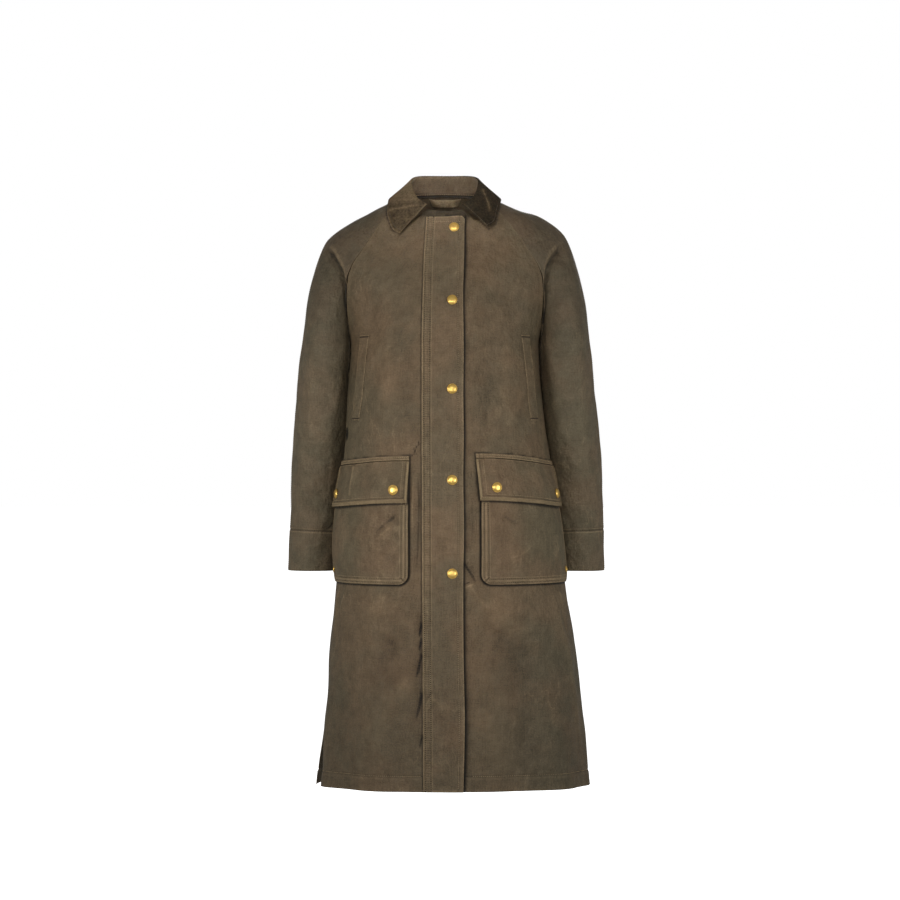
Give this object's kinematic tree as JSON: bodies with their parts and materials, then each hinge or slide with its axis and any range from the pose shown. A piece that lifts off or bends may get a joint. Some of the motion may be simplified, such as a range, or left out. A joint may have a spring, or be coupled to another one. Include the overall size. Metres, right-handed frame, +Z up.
{
  "type": "waxed coat",
  "caption": "Knee-length raglan coat of waxed cotton, hollow as if worn, with corduroy collar, snapped storm flap, bellows pockets and hand-warmer welts",
  "frame": {"origin": "between the wearer's shoulders on the centre line, level with the foot of the collar at the side of the neck", "axes": "+X towards the wearer's left, -Y out of the front, +Z up from hem to collar"},
  "size_m": [0.5763, 0.3323, 1.1013],
  "materials": {
    "waxed_cotton": "waxed, soft sheen",
    "edge_binding": "waxed, worn lighter",
    "corduroy": "ribbed pile, matt",
    "brass": "polished"
  },
  "bodies": {
    "root": {"front_left": "waxed_cotton", "front_right": "waxed_cotton", "back": "waxed_cotton", "sleeve_front_right": "waxed_cotton", "sleeve_back_right": "waxed_cotton", "sleeve_front_left": "waxed_cotton", "sleeve_back_left": "waxed_cotton", "collar_stand": "waxed_cotton", "hanger_loop": "waxed_cotton", "storm_flap": "waxed_cotton", "pocket_right": "waxed_cotton", "pocket_left": "waxed_cotton", "pocket_gusset_right": "waxed_cotton", "pocket_gusset_left": "waxed_cotton", "pocket_flap_right": "waxed_cotton", "pocket_flap_left": "waxed_cotton", "welt_right": "waxed_cotton", "welt_left": "waxed_cotton", "flap_binding_right": "edge_binding", "flap_binding_left": "edge_binding", "collar_fall": "corduroy", "stud_front_1": "brass", "stud_front_2": "brass", "stud_front_3": "brass", "stud_front_4": "brass", "stud_front_5": "brass", "stud_pocket_right_front": "brass", "stud_pocket_right_rear": "brass", "stud_pocket_left_front": "brass", "stud_pocket_left_rear": "brass", "eyelet_right": "brass", "eyelet_left": "brass"}
  },
  "joints": []
}
